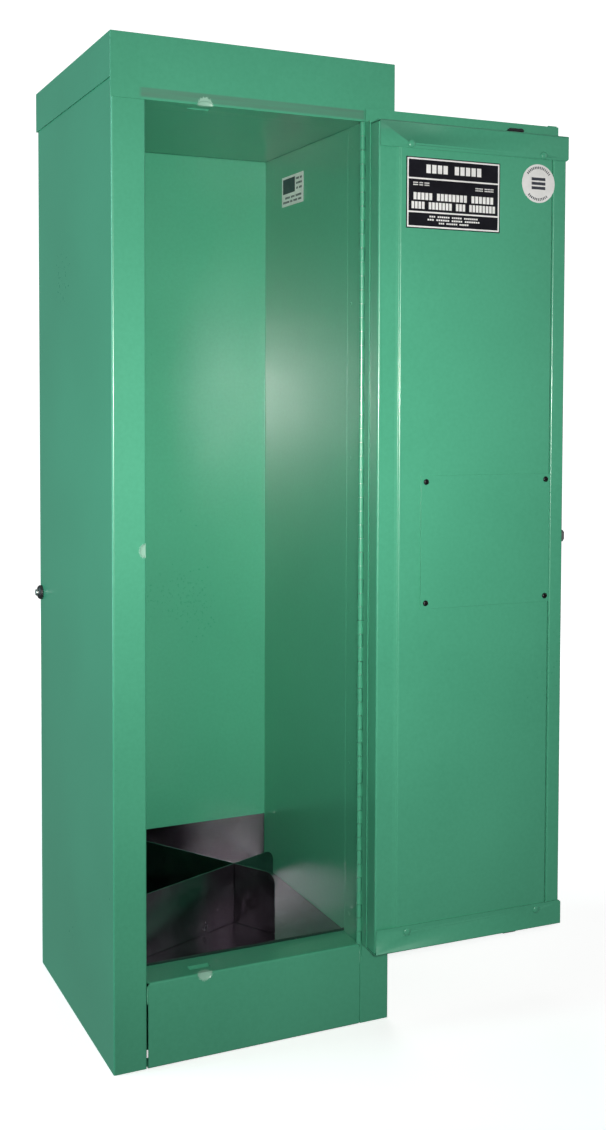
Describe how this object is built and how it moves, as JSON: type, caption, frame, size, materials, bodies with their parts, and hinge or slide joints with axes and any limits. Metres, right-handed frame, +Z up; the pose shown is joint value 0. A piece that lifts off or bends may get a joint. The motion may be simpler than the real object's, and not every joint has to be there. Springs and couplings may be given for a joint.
{
  "type": "medical gas cylinder cabinet",
  "caption": "Tall narrow double-walled steel cabinet with a full-height hinged door, crossed floor dividers for gas cylinders, and a paddle latch with rods and a bolt.",
  "frame": {"origin": "on the floor, in the middle of the cabinet's base plate", "axes": "+Z up, +Y to the back of the cabinet, +X to the hinge side of the door"},
  "size_m": [0.5662, 0.3788, 1.1176],
  "materials": {
    "green_enamel": "satin green powder enamel with a fine orange-peel texture",
    "galvanised": "bright galvanised sheet with soft spangle",
    "zinc_plate": "clear zinc plate",
    "black_plastic": "moulded black nylon",
    "black_oxide": "black oxide on steel screws",
    "label_black": "printed vinyl label",
    "label_white": "printed vinyl sticker"
  },
  "bodies": {
    "cabinet": {"left_side_panel": "green_enamel", "right_side_panel": "green_enamel", "back_panel": "green_enamel", "base_plate": "green_enamel", "top_cap": "green_enamel", "toe_panel": "green_enamel", "liner_wrap": "green_enamel", "inner_ceiling": "green_enamel", "inner_deck": "green_enamel", "deck_stringer_left": "green_enamel", "deck_stringer_right": "green_enamel", "rack_pan": "galvanised", "divider_a": "galvanised", "divider_b": "galvanised", "earth_bushing": "black_plastic", "earth_screw": "zinc_plate", "inner_label": "label_white", "hinge_frame_leaf": "green_enamel", "hinge_pin": "zinc_plate"},
    "door": {"hinge_door_leaf": "green_enamel", "door_outer_panel": "green_enamel", "door_inner_panel": "green_enamel", "door_edge_channel": "green_enamel", "door_top_channel": "green_enamel", "door_bottom_channel": "green_enamel", "door_rivet_1": "green_enamel", "door_rivet_2": "green_enamel", "door_rivet_3": "green_enamel", "door_rivet_4": "green_enamel", "latch_cover": "green_enamel", "cover_screw_1": "black_oxide", "cover_screw_2": "black_oxide", "cover_screw_3": "black_oxide", "cover_screw_4": "black_oxide", "door_label": "label_black", "door_sticker": "label_white", "handle_tray": "zinc_plate", "paddle_pin": "zinc_plate", "latch_plate": "zinc_plate", "hub_pivot": "zinc_plate", "top_rod_guide": "zinc_plate", "bottom_rod_guide": "zinc_plate", "bolt_guide": "zinc_plate", "top_rod_spring": "zinc_plate", "bottom_rod_spring": "zinc_plate", "lock_barrel": "zinc_plate"},
    "paddle": {"paddle": "black_plastic"},
    "hub": {"latch_hub": "zinc_plate"},
    "bolt": {"middle_bolt": "zinc_plate"},
    "upper_rod": {"top_rod": "zinc_plate", "top_rod_tip": "black_plastic"},
    "lower_rod": {"bottom_rod": "zinc_plate", "bottom_rod_tip": "black_plastic"},
    "key_plug": {"lock_plug": "zinc_plate", "lock_cam": "zinc_plate"}
  },
  "joints": [
    {"name": "door_hinge", "type": "hinge", "parent": "cabinet", "child": "door", "pos_m": [0.1266, -0.16665, 0.572], "axis": [0, 0, 1], "range_deg": [-178.6, 1.4]},
    {"name": "upper_rod_slide", "type": "slide", "parent": "door", "child": "upper_rod", "axis": [0, 0, -1], "range_m": [0, 0.0075], "stiffness_N_per_m": 800, "springref_m": -0.004, "deforming": ["top_rod_spring"]},
    {"name": "lower_rod_slide", "type": "slide", "parent": "door", "child": "lower_rod", "axis": [0, 0, 1], "range_m": [0, 0.0075], "stiffness_N_per_m": 800, "springref_m": -0.004, "deforming": ["bottom_rod_spring"]},
    {"name": "paddle_pull", "type": "hinge", "parent": "door", "child": "paddle", "pos_m": [0.32639, -0.17753, 0.598], "axis": [0.9997, -0.0244, 0], "range_deg": [0, 40]},
    {"name": "hub_turn", "type": "hinge", "parent": "door", "child": "hub", "pos_m": [0.31593, -0.19628, 0.5875], "axis": [0.0244, 0.9997, 0], "range_deg": [0, 25]},
    {"name": "bolt_slide", "type": "slide", "parent": "door", "child": "bolt", "axis": [-0.9997, 0.0244, 0], "range_m": [0, 0.00803]},
    {"name": "key_turn", "type": "hinge", "parent": "door", "child": "key_plug", "pos_m": [0.33805, -0.19182, 0.521], "axis": [0.0244, 0.9997, 0], "range_deg": [0, 90]}
  ],
  "couplings": [
    {"joint": "lower_rod_slide", "follows": "upper_rod_slide", "ratio": 1},
    {"joint": "bolt_slide", "follows": "upper_rod_slide", "ratio": 1.0706},
    {"joint": "hub_turn", "follows": "upper_rod_slide", "rad_per_m": 58.17},
    {"joint": "paddle_pull", "follows": "upper_rod_slide", "rad_per_m": 93.08}
  ]
}
